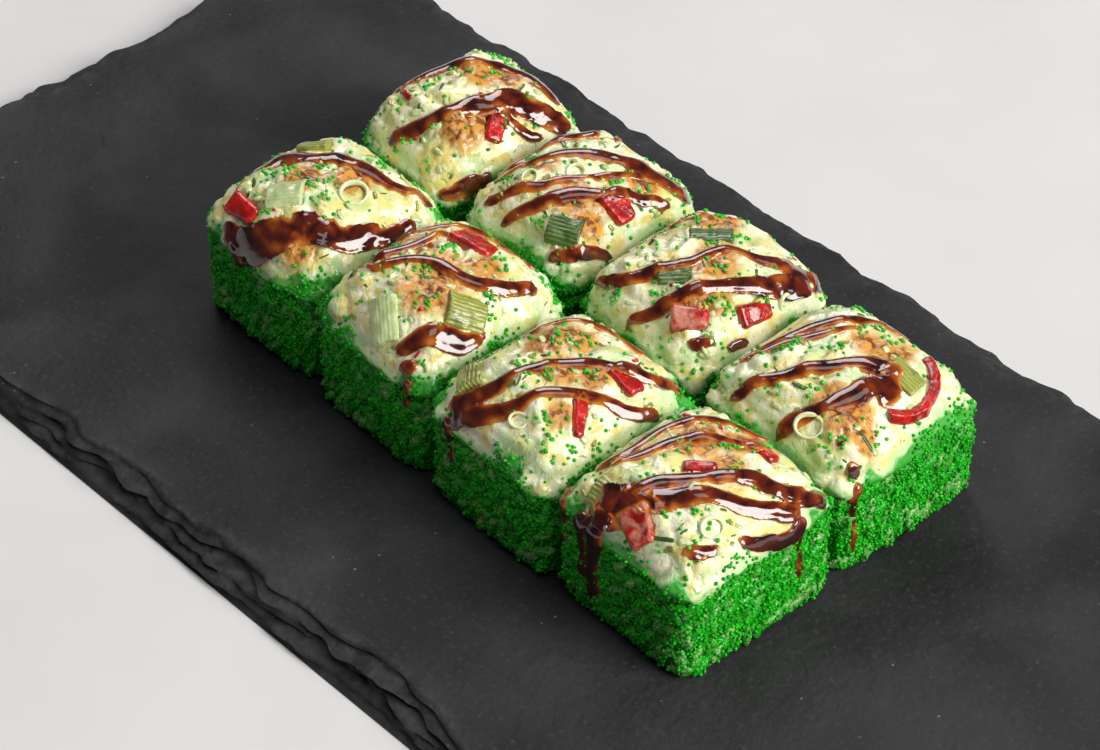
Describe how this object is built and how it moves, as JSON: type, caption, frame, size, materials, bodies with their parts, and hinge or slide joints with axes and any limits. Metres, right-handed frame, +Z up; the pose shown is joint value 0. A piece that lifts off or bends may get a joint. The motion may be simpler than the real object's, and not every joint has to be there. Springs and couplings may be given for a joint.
{
  "type": "maki sushi roll serving",
  "caption": "Squarish baked maki rolls in rows on a chipped slate board: green roe over rice, a creamy browned topping with red pepper and green onion, and dark sauce.",
  "frame": {"origin": "underside of the slate board, at its middle", "axes": "+X along the board's long side, +Z up out of the rolls"},
  "size_m": [0.3, 0.15, 0.0392],
  "materials": {
    "slate": "matt split slate with knapped edges",
    "green_rice": "moist green roe over cooked rice",
    "baked_topping": "glossy baked cream, golden brown in spots",
    "red_pepper": "wet cut sweet pepper",
    "green_onion": "ribbed, softened green onion",
    "sauce": "thick glossy soy glaze, amber where thin"
  },
  "bodies": {
    "root": {"roll_back_1_pepper_1": "red_pepper", "roll_back_1_rice": "green_rice", "roll_back_1_topping": "baked_topping", "roll_back_2_onion_1": "green_onion", "roll_back_2_pepper_1": "red_pepper", "roll_back_2_rice": "green_rice", "roll_back_2_topping": "baked_topping", "roll_back_3_onion_1": "green_onion", "roll_back_3_onion_2": "green_onion", "roll_back_3_pepper_1": "red_pepper", "roll_back_3_pepper_2": "red_pepper", "roll_back_3_rice": "green_rice", "roll_back_3_topping": "baked_topping", "roll_back_4_onion_1": "green_onion", "roll_back_4_pepper_strip": "red_pepper", "roll_back_4_rice": "green_rice", "roll_back_4_topping": "baked_topping", "roll_front_1_onion_1": "green_onion", "roll_front_1_onion_2": "green_onion", "roll_front_1_pepper_1": "red_pepper", "roll_front_1_rice": "green_rice", "roll_front_1_topping": "baked_topping", "roll_front_2_onion_1": "green_onion", "roll_front_2_onion_2": "green_onion", "roll_front_2_pepper_1": "red_pepper", "roll_front_2_rice": "green_rice", "roll_front_2_topping": "baked_topping", "roll_front_3_onion_1": "green_onion", "roll_front_3_pepper_1": "red_pepper", "roll_front_3_pepper_2": "red_pepper", "roll_front_3_rice": "green_rice", "roll_front_3_topping": "baked_topping", "roll_front_4_onion_1": "green_onion", "roll_front_4_pepper_1": "red_pepper", "roll_front_4_pepper_2": "red_pepper", "roll_front_4_pepper_3": "red_pepper", "roll_front_4_rice": "green_rice", "roll_front_4_topping": "baked_topping", "slate_board": "slate"}
  },
  "joints": []
}
